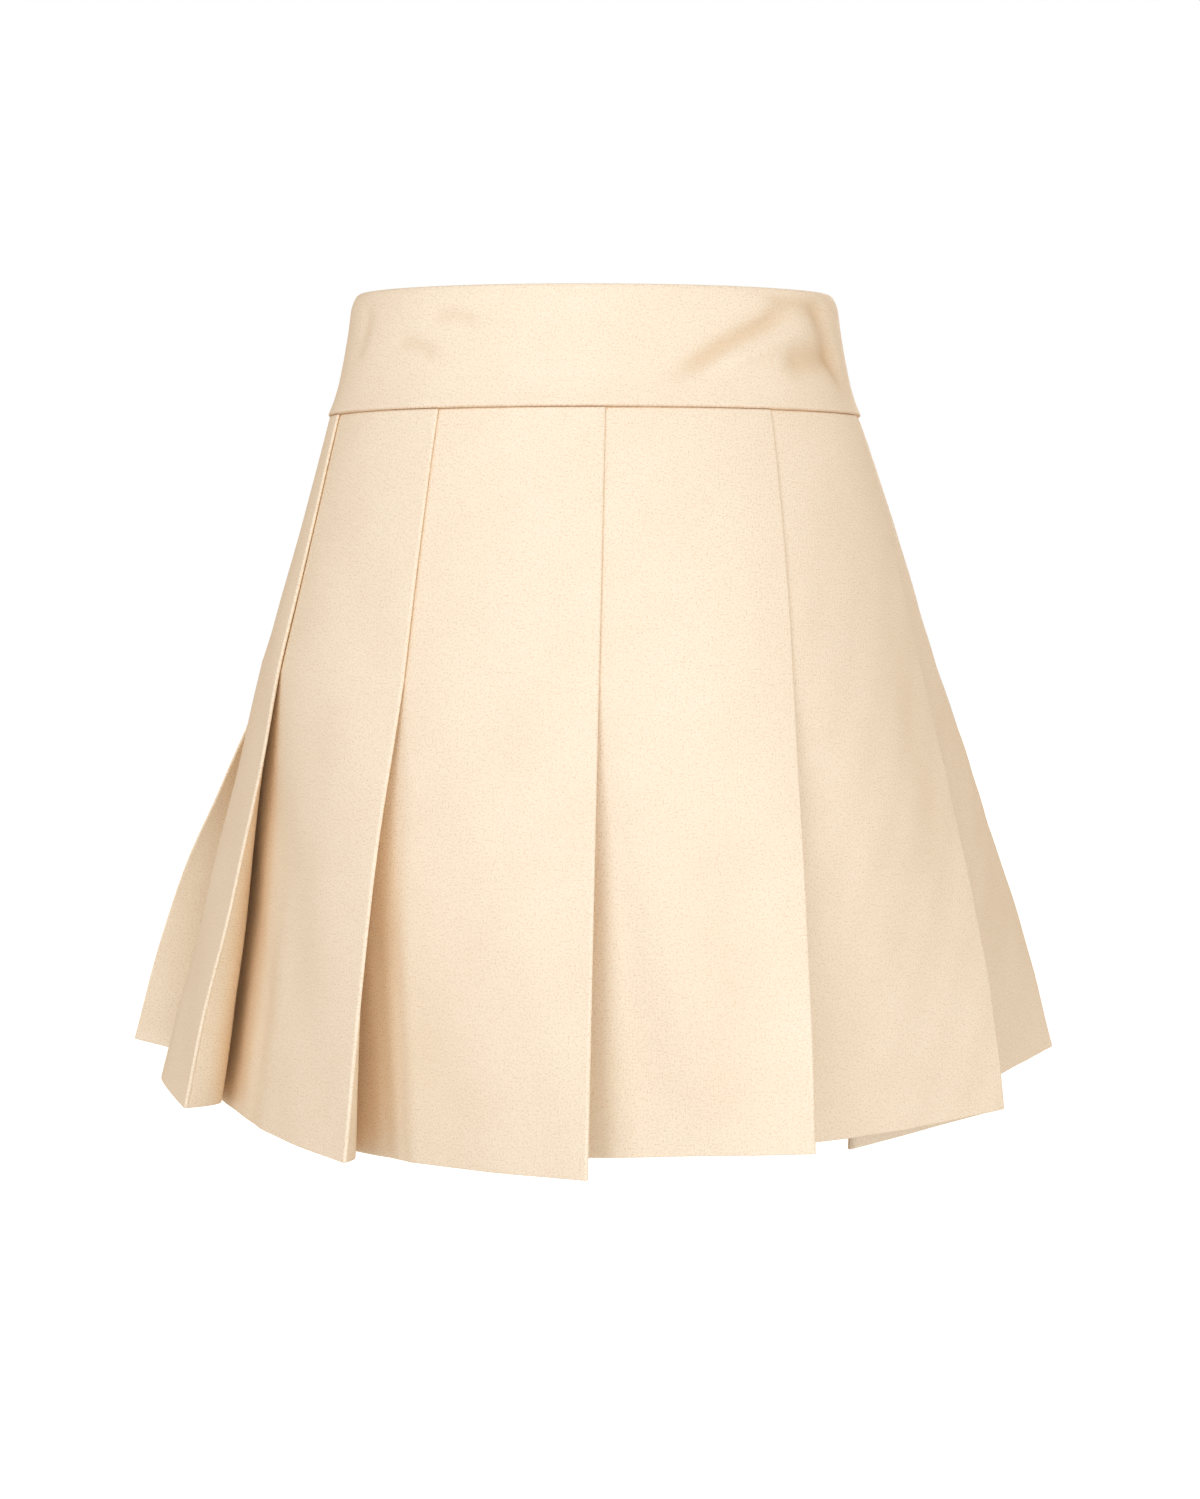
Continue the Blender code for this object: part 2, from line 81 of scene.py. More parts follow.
SHORTS_HIP = [
    # (drop, half_width, half_depth_front, half_depth_back), in mm
    (61.5, 128.2, 95.7, 95.7),
    (90.0, 130.5, 98.5, 101.5),
    (125.0, 137.0, 104.0, 110.0),
    (160.0, 144.0, 107.5, 117.0),
    (195.0, 148.5, 108.0, 120.0),
    (220.0, 149.5, 107.0, 118.0),
    (240.0, 149.0, 105.0, 114.0),
    (255.0, 148.0, 103.0, 110.0),
    (268.0, 146.5, 100.0, 105.0),
    (300.0, 143.0, 94.0, 98.0),
    (335.0, 139.0, 87.0, 91.0),
]
SHORTS_LEG = [
    # (centre x, half_width, half_depth_front, half_depth_back, share of leg in the row),
    # for the drops of SHORTS_HIP, in mm
    (70.0, 70.0, 95.7, 95.7, 0.0),
    (70.0, 70.0, 98.5, 101.5, 0.0),
    (70.0, 70.0, 102.0, 110.0, 0.0),
    (71.2, 71.0, 103.0, 114.0, 0.0),
    (72.2, 71.8, 102.0, 115.0, 0.1),
    (73.0, 72.5, 99.0, 113.0, 0.38),
    (73.6, 73.0, 95.0, 110.0, 0.66),
    (73.2, 72.5, 91.0, 106.0, 0.88),
    (72.7, 72.0, 88.0, 102.0, 1.0),
    (75.0, 67.0, 82.0, 95.0, 1.0),
    (76.0, 63.0, 76.0, 88.0, 1.0),
]
CROTCH_DROP = 266.0 * MM
LEGS_APART_DROP = 268.0 * MM
TAPE_ROWS = [
    # (drop, distance behind the middle), in mm
    (15.0, 89.9),
    (30.0, 92.1),
    (45.0, 94.7),
    (53.0, 94.8),
    (61.0, 93.9),
    (75.0, 96.7),
    (90.0, 99.9),
    (125.0, 108.3),
    (150.0, 113.5),
    (165.0, 114.0),
]
TAPE_HALF_WIDTH = 12.0 * MM
TAPE_BEND = 125.0 * MM  # half width of the ellipse that the tape bends round
TAPE_END = 165.0 * MM

# ------------------------------------------------------------------ sizes of the fine cloth

CLOTH = 0.7 * MM
BAND_CLOTH = 2.1 * MM
TAPE_CLOTH = 0.7 * MM
EDGE_LEAST = 0.03  # keeps a rounded edge from closing to nothing
FAR_FROM_SEAM = 9.0  # in mm, where no seam shade is painted

HEM_DEPTH = 45.0 * MM
HEM_EXTRA = 0.8 * MM  # the turned-up layer on the wrong side
HEM_RIDGE = 0.13 * MM  # what shows of it on the right side
HEM_STEP = 1.2 * MM  # over which it starts
HEM_FROM_FOLD = 7.0 * MM
COLUMN_STEP = 2.2 * MM
FOLD_STEPS = (0.35, 0.4, 0.5, 0.7, 1.0, 1.5)  # between the columns beside a fold, in mm
FOLD_ZONE = 6.0 * MM  # even columns start at this distance from a fold
FOLD_TURNS = 9  # steps of the half turn round a fold
EDGE_ROWS = (0.0, 0.15, 0.4, 0.8)  # rows beside the top and the hem, in mm
GORE_LENGTH = 0.35
SHUT_ROWS = 30
OPEN_ROWS = 62
EASE = 0.4  # how far the open rows keep the direction of the shut ones
PRESSED = 0.60  # share of LAYER that is left between the layers at the seam
LOOSENED = 0.20  # what is added to it where the pleats open
LATE_POWER = 1.8  # more than 1 brings a late bow on below the middle

BAND_RADIUS = 0.115
BAND_COLUMN_STEP = 1.9 * MM
BAND_GAP = 0.1 * MM
BAND_CALM = 7.0  # in mm, without creases beside the band's edges
SIDE_ROLL = 2.2 * MM  # how far the band's top edge rolls in at the side
ROLL_DROP = 9.0 * MM

SHORTS_HEM = 20.0 * MM
SHORTS_HEM_EXTRA = 0.5 * MM
SHORTS_CREASE = 0.7 * MM
SHORTS_CALM = 25.0 * MM  # without creases beside the seams
SHORTS_GAP = 0.15 * MM

TAPE_ROW_COUNT = 82
TAPE_TOP = 3.5 * MM  # drop of the tape's top beside the slider
TAPE_NOTCH = 11.6 * MM  # drop of its top under the slider
TAPE_NOTCH_HALF_WIDTH = 3.8 * MM
TAPE_TOP_SLOPE = 0.095  # how fast the tape comes forward above its first row
COIL_TOP = 12.3 * MM
COIL_LENGTH = 151.0 * MM
COIL_PITCH = 1.25 * MM
COIL_ASIDE = 0.9 * MM  # from the middle of the tape
COIL_INSIDE = 0.85 * MM  # from the tape towards the body
COIL_TURN = (1.35 * MM, 0.45 * MM, 0.36 * MM)  # half sizes of one turn

# Slow waves of the cloth: (height, turns per metre along x, y and z, phase)
DRIFT_WAVES = [
    (0.50, 7.3, 0.0, 4.1, 1.3),
    (0.45, 0.0, 8.7, -5.9, 4.0),
    (0.28, 15.1, -11.0, 9.3, 0.4),
    (0.16, 27.0, 21.0, -17.0, 2.2),
]
DRIFT_HEIGHT = 0.9 * MM
DRIFT_ONSET = 0.12  # below the seam, in metres, where the waves reach their full height

# Soft creases in the panels: a height over 0 is a ridge, one under 0 a trough
PANEL_WIDTH = 0.11
PANEL_CREASE_IN = 0.18
PANEL_CREASE_OUT = 0.12
PANEL_CREASES = [
    # (gore, share across the panel, lean, top and bottom as shares of the length,
    #  width and height in mm). A share across that is less than 0 is in the underlay.
    ("center_front", -0.17, 0.04, 0.60, 1.1, 5.0, -0.7),
    ("center_front", 0.02, 0.05, 0.55, 1.1, 5.5, 1.1),
    ("center_front", 0.36, 0.05, 0.60, 1.0, 18.0, -0.3),
    ("center_front", 0.72, -0.04, 0.30, 0.80, 16.0, 0.6),
    ("front_left", -0.05, 0.02, 0.56, 1.1, 5.0, -0.7),
    ("front_left", 0.06, 0.03, 0.54, 1.1, 6.0, 0.9),
    ("front_left", 0.62, -0.05, 0.45, 1.0, 20.0, -0.7),
    ("hip_left", 0.35, 0.08, 0.40, 1.1, 18.0, 0.9),
    ("hip_left", 0.78, 0.02, 0.25, 0.75, 14.0, -0.6),
    ("side_left", 0.45, 0.05, 0.50, 1.1, 15.0, 0.8),
    ("back_left", 0.30, -0.05, 0.55, 1.1, 14.0, -1.0),
    ("back_left", 0.70, 0.06, 0.35, 0.85, 17.0, 0.7),
    ("center_back", 0.24, 0.04, 0.60, 1.1, 9.0, 0.9),
    ("center_back", 0.55, -0.06, 0.40, 0.95, 19.0, -0.8),
    ("back_right", 0.40, 0.05, 0.50, 1.1, 13.0, 0.9),
    ("side_right", 0.66, -0.04, 0.42, 1.0, 15.0, -0.8),
    ("hip_right", 0.52, 0.04, 0.50, 1.1, 12.0, 0.7),
    ("front_right", 0.28, 0.04, 0.58, 1.1, 11.0, 0.7),
    ("front_right", 0.15, 0.02, 0.66, 1.1, 8.0, -0.6),
    ("front_right", 0.66, -0.03, 0.30, 0.85, 16.0, 0.6),
]

# How far the cloth rolls over at a fold before it turns in, at the hem, in mm
ROLLS = {
    "hip_right": 20.0,
    "front_right": 6.0,
    "side_right": 5.0,
    "back_right": 6.0,
    "back_left": 7.0,
}

# How far the hem of a panel lifts between its folds, and how late its bow comes, in mm
LIFTS = {"hip_right": 9.0, "side_right": 3.0, "side_left": 3.0}
LATE_BOWS = {"hip_right": 30.0}

# Pull creases in the waistband, from one end to the other
BAND_MM_PER_DEGREE = 1.95
BAND_CREASE_SAG = 2.2  # in mm, in the middle of a crease
BAND_CREASE_EVEN = 0.28  # half of the share of its length that has the full height
BAND_CREASE_FADE = 0.22
BAND_CREASES = [
    # (angle from, drop from, angle to, drop to, half width, height), in degrees and mm
    (17.0, 43.0, 48.0, 11.5, 4.6, -3.0),
    (27.0, 40.5, 56.0, 19.5, 4.2, 1.8),
    (45.0, 37.5, 70.0, 33.0, 8.0, -2.9),
    (42.0, 4.0, 66.0, 10.0, 7.0, -2.1),
    (60.0, 8.0, 71.0, 48.0, 9.0, -2.0),
    (-41.0, 15.0, -29.0, 18.5, 3.4, -1.1),
    (-52.0, 27.0, -39.0, 34.5, 3.8, -1.2),
    (-66.0, 8.0, -70.0, 34.0, 6.0, -0.9),
    (112.0, 20.0, 131.0, 36.0, 4.5, -1.1),
    (138.0, 44.0, 160.0, 25.0, 5.0, -1.0),
    (-118.0, 34.0, -134.0, 18.0, 4.5, -1.0),
    (-142.0, 28.0, -162.0, 42.0, 5.0, -1.1),
    (104.0, 14.0, 112.0, 40.0, 5.0, -0.8),
    (-104.0, 46.0, -113.0, 20.0, 5.0, -0.9),
]

CREAM = (0.920, 0.842, 0.700)
# painted shade: the deeper, warmer colour that stands in for shade and bounced light in the folds
CREAM_FOLD_SHADE = (1.000, 0.700, 0.390)
# colour of the gold flecks, clouds and slubs, and of the painted shade in crease troughs
FLECK_AND_SHADE_GOLD = (0.680, 0.470, 0.260)
PLAIN = (0.780, 0.640, 0.460)
TAPE = (0.720, 0.580, 0.400)
PALE_GOLD = (0.830, 0.660, 0.400)
WORN_GOLD = (0.700, 0.530, 0.300)
# painted shade: the dotted shadow line of the waist seam and its puckers
SEAM_SHADE_BROWN = (0.550, 0.300, 0.140)
SEAM_DOT_PITCH = 2.4 * MM
SHEEN_TINT = (1.0, 0.74, 0.46)
THREAD_STRETCH = 0.10  # thickness of a thread's marks as a share of their length
HOLLOW_REACH = 26.0 * MM  # how near other cloth has to be for the painted shade of a fold
# how much of the painted fold shade is mixed in
FOLD_SHADE_TONE = 0.5
CREASE_SHADE_TONE = 0.16  # painted shade in the troughs of the creases, for each mm of depth


# ------------------------------------------------------------------ helpers


def unit(vector):
    return vector / np.linalg.norm(vector)


def smooth(x):
    """A soft step from 0 to 1."""
    x = np.clip(x, 0.0, 1.0)
    return x * x * (3 - 2 * x)


def eased(values, count):
    """The values, each averaged with this many of its neighbours."""
    kernel = np.hanning(count) / np.hanning(count).sum()
    padded = np.pad(values, count // 2, mode="reflect", reflect_type="odd")
    return np.convolve(padded, kernel, mode="valid")


def level_left(direction):
    """The level unit vector to the left of this direction."""
    level = np.array([-direction[1], direction[0], 0.0])
    return level / np.linalg.norm(level)


def grid_normals(grid):
    """Unit normals of a grid of points; they point to the right side of the cloth."""
    down = np.gradient(grid, axis=0)
    across = np.gradient(grid, axis=1)
    normal = np.cross(down, across)
    return normal / np.linalg.norm(normal, axis=2, keepdims=True)


def edge_round(distance, radius):
    """Share of the full thickness at this distance from a free edge."""
    t = np.clip(distance / radius, 0.0, 1.0)
    return np.sqrt(np.clip(1 - (1 - t) ** 2, EDGE_LEAST, 1.0))


def wall(name, grid, normal, front, back, across, along, material, crease=None, seam=None):
    """A closed wall: the grid moved out by front and in by back, with its rim closed.

    The cloth's lengths go to its UV map, and its creases and distance from the seam, in mm,
    to two attributes that the cloth material reads for its painted shade.
    """
    count, width = grid.shape[:2]
    outer = (grid + normal * front[..., None]).reshape(-1, 3)
    inner = (grid - normal * back[..., None]).reshape(-1, 3)
    points = np.vstack([outer, inner])
    base = count * width
    i, j = np.meshgrid(np.arange(count - 1), np.arange(width - 1), indexing="ij")
    a = (i * width + j).ravel()
    quads = np.stack([a, a + width, a + width + 1, a + 1], axis=1)
    inner_quads = quads[:, ::-1] + base
    ring = list(range(width))
    ring += [r * width + width - 1 for r in range(1, count)]
    ring += [(count - 1) * width + c for c in range(width - 2, -1, -1)]
    ring += [r * width for r in range(count - 2, 0, -1)]
    ring = np.array(ring)
    after = np.roll(ring, -1)
    rim = np.stack([ring, after, after + base, ring + base], axis=1)
    faces = np.vstack([quads, inner_quads, rim])
    mesh = bpy.data.meshes.new(name)
    mesh.from_pydata(points.tolist(), [], faces.tolist())
    flat = np.stack([across.ravel(), along.ravel()], axis=1)
    flat = np.vstack([flat, flat])
    layer = mesh.uv_layers.new(name="cloth")
    layer.data.foreach_set("uv", flat[faces.ravel()].astype(np.float32).ravel())
    depth = np.zeros(base) if crease is None else crease.ravel() / MM
    tone = mesh.attributes.new("crease", "FLOAT", "POINT")
    tone.data.foreach_set("value", np.concatenate([depth, depth]).astype(np.float32))
    away = np.full(base, FAR_FROM_SEAM) if seam is None else seam.ravel() / MM
    sewn = mesh.attributes.new("seam", "FLOAT", "POINT")
    sewn.data.foreach_set("value", np.concatenate([away, away]).astype(np.float32))
    mesh.shade_smooth()
    mesh.materials.append(material)
    obj = bpy.data.objects.new(name, mesh)
    bpy.context.scene.collection.objects.link(obj)
    return obj


def cloth_lengths(grid):
    """How far each point lies across and along the cloth."""
    across = np.linalg.norm(np.diff(grid, axis=1), axis=2)
    along = np.linalg.norm(np.diff(grid, axis=0), axis=2)
    across = np.concatenate([np.zeros((grid.shape[0], 1)), np.cumsum(across, axis=1)], axis=1)
    along = np.concatenate([np.zeros((1, grid.shape[1])), np.cumsum(along, axis=0)], axis=0)
    return across, along


def from_sides(across):
    """Distance of each point from the nearer side edge."""
    return np.minimum(across, across[:, -1:] - across)


def drift(points):
    """Slow waves that move every layer at a place together."""
    x, y, z = points[..., 0], points[..., 1], points[..., 2]
    wave = np.zeros_like(x)
    for tall, by_x, by_y, by_z, phase in DRIFT_WAVES:
        wave += tall * np.sin(2 * np.pi * (x * by_x + y * by_y + z * by_z) + phase)
    out = np.stack([x / SEAM_HALF_WIDTH**2, y / SEAM_HALF_DEPTH**2, np.zeros_like(x)], axis=-1)
    out /= np.maximum(np.linalg.norm(out, axis=-1, keepdims=True), 1e-9)
    grow = smooth((-z - SEAM_DROP) / DRIFT_ONSET)
    return out * (wave * grow * DRIFT_HEIGHT)[..., None]


# ------------------------------------------------------------------ skirt surface

# Turns and arcs round the seam's ellipse: 0 is centre front, more is towards the wearer's left
TURN_STEPS = 8000
TURNS = np.linspace(-math.pi, math.pi, TURN_STEPS + 1)
ELLIPSE = np.stack([SEAM_HALF_WIDTH * np.sin(TURNS), -SEAM_HALF_DEPTH * np.cos(TURNS)], axis=1)
ARCS = np.concatenate([[0.0], np.cumsum(np.linalg.norm(np.diff(ELLIPSE, axis=0), axis=1))])
ARCS -= ARCS[TURN_STEPS // 2]
SEAM_LENGTH = ARCS[-1] - ARCS[0]
PANEL_TYPICAL = SEAM_LENGTH / len(PLEATS)


def seam_points(arc):
    """Points of the waist seam at these arcs."""
    arc = (arc + SEAM_LENGTH / 2) % SEAM_LENGTH - SEAM_LENGTH / 2
    turn = np.interp(arc, ARCS, TURNS)
    x = SEAM_HALF_WIDTH * np.sin(turn)
    y = -SEAM_HALF_DEPTH * np.cos(turn)
    return np.stack([x, y, np.full_like(x, -SEAM_DROP)], axis=-1)


def seam_normals(arc):
    """Level unit vectors out of the waist seam at these arcs."""
    arc = (arc + SEAM_LENGTH / 2) % SEAM_LENGTH - SEAM_LENGTH / 2
    turn = np.interp(arc, ARCS, TURNS)
    x = np.sin(turn) / SEAM_HALF_WIDTH
    y = -np.cos(turn) / SEAM_HALF_DEPTH
    normal = np.stack([x, y, np.zeros_like(x)], axis=-1)
    return normal / np.linalg.norm(normal, axis=-1, keepdims=True)


ARC_SCALE = SEAM_LENGTH / 2 / (PLEATS[-1][1] * MM)
FOLD_ARCS = np.array([row[1] for row in PLEATS]) * MM * ARC_SCALE
FOLDS = np.array([row[2:5] for row in PLEATS]) * MM
INNERS = np.array([row[5:8] for row in PLEATS]) * MM
BULGES = np.array([row[8] for row in PLEATS]) * MM
SWELLS = np.array([row[9] for row in PLEATS]) * MM
BOWS = np.array([row[10] for row in PLEATS]) * MM
SPREADS = np.array([row[11] for row in PLEATS]) * MM


def fold_shifts(share):
    """How far each fold has moved away from its place at the seam, at this share of the length."""
    straight = (FOLDS - seam_points(FOLD_ARCS)) * share
    lift = BULGES * math.sin(math.pi * share**BULGE_POWER)
    return straight + seam_normals(FOLD_ARCS) * lift[:, None]


def joined(at, vectors):
    """Vectors that are given at the folds, joined smoothly round the skirt by a spline."""
    folds = len(PLEATS)
    turn = (at - FOLD_ARCS[0]) % SEAM_LENGTH + FOLD_ARCS[0]
    k = np.clip(np.searchsorted(FOLD_ARCS, turn + 1e-12) - 1, 0, folds - 1)

    def pick(step):
        i = (k + step) % folds
        return FOLD_ARCS[i] + SEAM_LENGTH * ((k + step) // folds), vectors[i]

    (a0, s0), (a1, s1), (a2, s2), (a3, s3) = (pick(step) for step in (-1, 0, 1, 2))
    span = a2 - a1
    t = ((turn - a1) / span)[:, None]
    slope_a = (s2 - s0) / (a2 - a0)[:, None] * span[:, None]
    slope_b = (s3 - s1) / (a3 - a1)[:, None] * span[:, None]
    result = (2 * t**3 - 3 * t**2 + 1) * s1 + (t**3 - 2 * t**2 + t) * slope_a
    return result + (3 * t**2 - 2 * t**3) * s2 + (t**3 - t**2) * slope_b


def shut_points(arc, share, depth):
    """Places on the skirt with its pleats shut, this deep under the outermost layer.

    The layers are pressed closer together at the seam than where the pleats open.
    """
    shifts = fold_shifts(share)
    depth = depth * (PRESSED + LOOSENED * smooth(share / RELEASE))

    def surface(at):
        return seam_points(at) + joined(at, shifts)

    step = 2.0 * MM
    along = surface(arc + step) - surface(arc - step)
    normal = np.stack([along[:, 1], -along[:, 0], np.zeros(len(arc))], axis=1)
    normal /= np.linalg.norm(normal, axis=1, keepdims=True)
    return surface(arc) - normal * depth[:, None]


def gore_columns(k):
    """Each column of a gore, from its inner edge over the panel and the fold to its return.

    It gives the arc and depth when shut, the place at the hem, the share across (1 at the fold,
    2 at the end of the return), the distance from the fold, the panel's share of the width, and
    the swell and the late bow between release and hem.
    """
    name = PLEATS[k][0]
    before = k - 1
    panel = (FOLD_ARCS[k] - FOLD_ARCS[before]) % SEAM_LENGTH
    width = panel + PLEAT_LAP
    start_arc = FOLD_ARCS[before] - PLEAT_LAP
    face = FOLDS[k] - INNERS[before]
    back = INNERS[k] - FOLDS[k]
    start_turn = level_left(unit(unit(FOLDS[before] - INNERS[before]) + unit(face)))
    fold_turn = level_left(unit(unit(face) - unit(back)))
    start = INNERS[before] + start_turn * LAYER
    under = fold_turn * LAYER

    near_fold = np.cumsum(FOLD_STEPS) * MM
    along = np.linspace(0.0, width - FOLD_ZONE, int(width / COLUMN_STEP))
    along = np.concatenate([along, width - near_fold[::-1], [width]])
    share = along / width
    arc = start_arc + along
    depth = 2 * LAYER * (1 - (along - PLEAT_LAP) / panel)
    lapped = along < PLEAT_LAP
    depth[lapped] = 2 * LAYER * (1 + (PLEAT_LAP - along[lapped]) / PANEL_TYPICAL)
    bow = -level_left(unit(face)) * BOWS[k]
    arch = np.sin(np.pi * share)[:, None]
    lift = np.array([0.0, 0.0, LIFTS.get(name, 0.0) * MM])
    hem = start + (FOLDS[k] - start) * share[:, None] + (bow + lift) * arch

    turn = np.linspace(0, np.pi, FOLD_TURNS)[1:-1]
    radius = LAYER / 2
    arc = np.concatenate([arc, FOLD_ARCS[k] + radius * np.sin(turn)])
    depth = np.concatenate([depth, radius * (1 - np.cos(turn))])
    out = unit(face) * radius
    rounding = FOLDS[k] + under / 2 - np.cos(turn)[:, None] * under / 2
    hem = np.concatenate([hem, rounding + np.sin(turn)[:, None] * out])

    rest = np.linspace(FOLD_ZONE, PLEAT_LAP, int(PLEAT_LAP / COLUMN_STEP))
    back_along = np.concatenate([[0.0], near_fold, rest])
    t = back_along / PLEAT_LAP
    arc = np.concatenate([arc, FOLD_ARCS[k] - back_along])
    depth = np.concatenate([depth, LAYER + 2 * LAYER * PLEAT_LAP * t / PANEL_TYPICAL])
    roll = ROLLS.get(name, 0.0) * MM * np.sin(np.pi * t) * (1 - t)
    away = -level_left(unit(back)) * roll[:, None]
    returned = FOLDS[k] + under + (INNERS[k] - FOLDS[k] - under) * t[:, None]
    hem = np.concatenate([hem, returned + away])

    across = np.concatenate([share, np.ones(len(turn)), 1 + t])
    from_fold = np.concatenate([width - along, np.zeros(len(turn)), back_along])
    last_face = FOLDS[before] - INNERS[before - 1]
    start_spread = level_left(unit(last_face)) * SPREADS[before]
    end_spread = level_left(unit(face)) * SPREADS[k]
    near_start = np.clip(1 - across, 0, 1)[:, None] ** 2
    swell = joined(arc, seam_normals(FOLD_ARCS) * SWELLS[:, None])
    swell += start_spread * near_start + end_spread * np.clip(across - 1, 0, 1)[:, None]
    late = level_left(unit(face)) * LATE_BOWS.get(name, 0.0) * MM
    late = late * np.sin(np.pi * np.clip(across, 0, 1))[:, None]
    return arc, depth, hem, across, from_fold, panel / width, swell, late


def gore_grid(k):
    """Middle of a gore's cloth: rows of the shut pleat, then rows that open towards the hem."""
    arc, depth, hem, across, from_fold, panel_share, swell, late = gore_columns(k)
    ends = np.array(EDGE_ROWS) * MM / GORE_LENGTH
    shut = np.linspace(0.008, RELEASE, SHUT_ROWS)
    opened = np.linspace(RELEASE, 0.992, OPEN_ROWS)[1:]
    shares = np.concatenate([ends, shut, opened, (1 - ends)[::-1]])
    eps = 0.02
    release = shut_points(arc, RELEASE, depth)
    onward = (release - shut_points(arc, RELEASE - eps, depth)) / eps * (1 - RELEASE)
    chord = hem - release
    rows = []
    for v in shares:
        if v <= RELEASE:
            rows.append(shut_points(arc, v, depth))
        else:
            s = (v - RELEASE) / (1 - RELEASE)
            row = release + chord * s + (onward - chord) * (s * (1 - s) ** 2 * EASE)
            rows.append(row + swell * math.sin(math.pi * s) + late * (s - s**LATE_POWER))
    grid = np.array(rows)
    grid = grid + drift(grid)
    return grid, shares, across, from_fold, panel_share


def panel_creases(name, shares, across, panel_share):
    """Height of the soft creases at each point of a gore."""
    height = np.zeros((len(shares), len(across)))
    place = (across - (1 - panel_share)) / panel_share
    v = shares[:, None]
    for gore, centre, lean, top, bottom, width, tall in PANEL_CREASES:
        if gore != name:
            continue
        middle = centre + lean * (v - top)
        half = width * MM / PANEL_WIDTH
        ridge = np.exp(-(((place[None, :] - middle) / half) ** 2))
        length = smooth((v - top) / PANEL_CREASE_IN) * smooth((bottom - v) / PANEL_CREASE_OUT)
        height += ridge * length * tall * MM
    return height * smooth((1 - across) / 0.05)[None, :]


def make_gores(material):
    """The ten gores, each with its creases and its turned hem."""
    for k, row in enumerate(PLEATS):
        name = row[0]
        grid, shares, across, from_fold, panel_share = gore_grid(k)
        height = panel_creases(name, shares, across, panel_share)
        grid = grid + grid_normals(grid) * height[..., None]
        normal = grid_normals(grid)
        lengths = cloth_lengths(grid)
        down = lengths[1]
        to_hem = down[-1] - down
        rim = edge_round(np.minimum(down, to_hem), CLOTH / 2)
        rim = rim * edge_round(from_sides(lengths[0]), CLOTH / 2)
        turned_up = smooth((HEM_DEPTH - to_hem) / HEM_STEP)
        turned_up = turned_up * smooth(from_fold / HEM_FROM_FOLD)[None, :]
        front = CLOTH / 2 * rim + turned_up * HEM_RIDGE
        back = (CLOTH / 2 + turned_up * HEM_EXTRA) * rim
        piece = wall("skirt_" + name, grid, normal, front, back, *lengths, material, height, down)
        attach(piece, "skort")
        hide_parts("gore_" + name)


# ------------------------------------------------------------------ waistband


def band_crease_height(angle, drop):
    """Height of the pull creases at each point of the band. Angles are in degrees, drops in mm."""
    height = np.zeros(np.broadcast(angle, drop).shape)
    for a0, d0, a1, d1, half, tall in BAND_CREASES:
        ax, ay = a0 * BAND_MM_PER_DEGREE, d0
        bx, by = a1 * BAND_MM_PER_DEGREE, d1
        px, py = angle * BAND_MM_PER_DEGREE - ax, drop - ay
        length = math.hypot(bx - ax, by - ay)
        ux, uy = (bx - ax) / length, (by - ay) / length
        along = (px * ux + py * uy) / length
        off = px * uy - py * ux - BAND_CREASE_SAG * np.sin(np.pi * np.clip(along, 0, 1))
        beyond = np.maximum(np.abs(along - 0.5) - BAND_CREASE_EVEN, 0)
        taper = np.exp(-((beyond / BAND_CREASE_FADE) ** 2))
        height += tall * np.exp(-((off / half) ** 2)) * taper
    return height * MM


def band_grid(start, end, parts_at_end):
    """Middle of the band's cloth from one angle to the other."""
    table = np.array(BAND_ROWS) * MM
    top_rows, foot_rows = [0.0, 0.12, 0.35, 0.7], [60.0, 60.25, 60.42, 60.5]
    drops = np.concatenate([top_rows, np.linspace(1.2, 59.6, 44), foot_rows]) * MM
    onward = math.copysign(1, end - start)
    count = int(abs(end - start) * BAND_RADIUS / BAND_COLUMN_STEP)
    knots = np.linspace(0.0, BAND_DEPTH + 1 * MM, 240)

    def profile(column):
        # The rounding of the top edge stays as it is in the table
        raw = np.interp(knots, table[:, 0], table[:, column])
        blend = smooth((knots - 3 * MM) / (6 * MM))
        return np.interp(drops, knots, raw * (1 - blend) + eased(raw, 31) * blend) - BAND_INSET

    widths, depths = profile(1), profile(2)
    grid = []
    for drop, half_width, half_depth in zip(drops, widths, depths):
        half_width -= SIDE_ROLL * max(0.0, 1 - drop / ROLL_DROP) ** 2
        first = start + BAND_GAP / half_depth * onward
        last = end - BAND_GAP / half_depth * onward
        if parts_at_end:
            part = LIP_PART * max(0.0, 1 - drop / LIP_PART_DROP) ** 0.5
            last -= part / half_width * onward
        angle = np.linspace(first, last, count + 1)
        dip = BAND_FRONT_DIP * np.maximum(0.0, np.cos(angle)) * max(0.0, 1 - drop / BAND_DEPTH)
        x, y = half_width * np.sin(angle), -half_depth * np.cos(angle)
        grid.append(np.stack([x, y, -drop - dip], axis=1))
    angles = np.degrees(np.linspace(start, end, count + 1))
    return np.array(grid), angles, drops / MM


def make_waistband(material):
    """The front of the band and its two back halves."""
    quarter = math.pi / 2
    places = {
        "front": (-quarter, quarter, False),
        "back_left": (quarter, math.pi, True),
        "back_right": (-quarter, -math.pi, True),
    }
    for place, (start, end, parts) in places.items():
        grid, angles, drops = band_grid(start, end, parts)
        if end < start:
            grid, angles = grid[:, ::-1], angles[::-1]
        height = band_crease_height(angles[None, :], drops[:, None])
        height = height * smooth(drops / BAND_CALM)[:, None]
        height = height * smooth((60 - drops) / BAND_CALM)[:, None]
        grid = grid + grid_normals(grid) * height[..., None]
        normal = grid_normals(grid)
        lengths = cloth_lengths(grid)
        down = lengths[1]
        seam = down[-1] - down
        top = edge_round(down, BAND_CLOTH * 0.45)
        low = edge_round(seam, 0.5 * MM) * 0.55 + 0.45
        half = BAND_CLOTH / 2 * (top * low * edge_round(from_sides(lengths[0]), BAND_CLOTH / 2))
        piece = wall("band_" + place, grid, normal, half, half, *lengths, material, height, seam)
        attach(piece, "skort")
        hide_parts("waistband_" + place)


# ------------------------------------------------------------------ inner shorts


